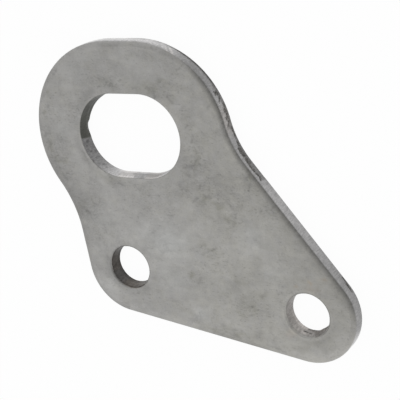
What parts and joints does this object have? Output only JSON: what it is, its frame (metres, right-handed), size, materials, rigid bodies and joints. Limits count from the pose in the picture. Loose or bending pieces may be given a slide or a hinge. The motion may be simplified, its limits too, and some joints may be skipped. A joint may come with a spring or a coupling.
{
  "type": "engine lift support bracket",
  "caption": "Flat pressed-steel lifting plate: a rounded head around an obround eye, bolt holes along its straight base, and softly rolled sheared edges.",
  "frame": {"origin": "midway between the axes of the bolt holes, on the back face", "axes": "+X from the bolt hole below the lifting eye to the outer one, +Y in the plate towards the eye, +Z out of the front face; the plate lies on its back face"},
  "size_m": [0.108, 0.0872, 0.0045],
  "materials": {
    "plate_steel": "dull tumbled steel with cloudy stains, bright sheared walls and dark torn patches"
  },
  "bodies": {
    "root": {"lift_plate": "plate_steel"}
  },
  "joints": []
}
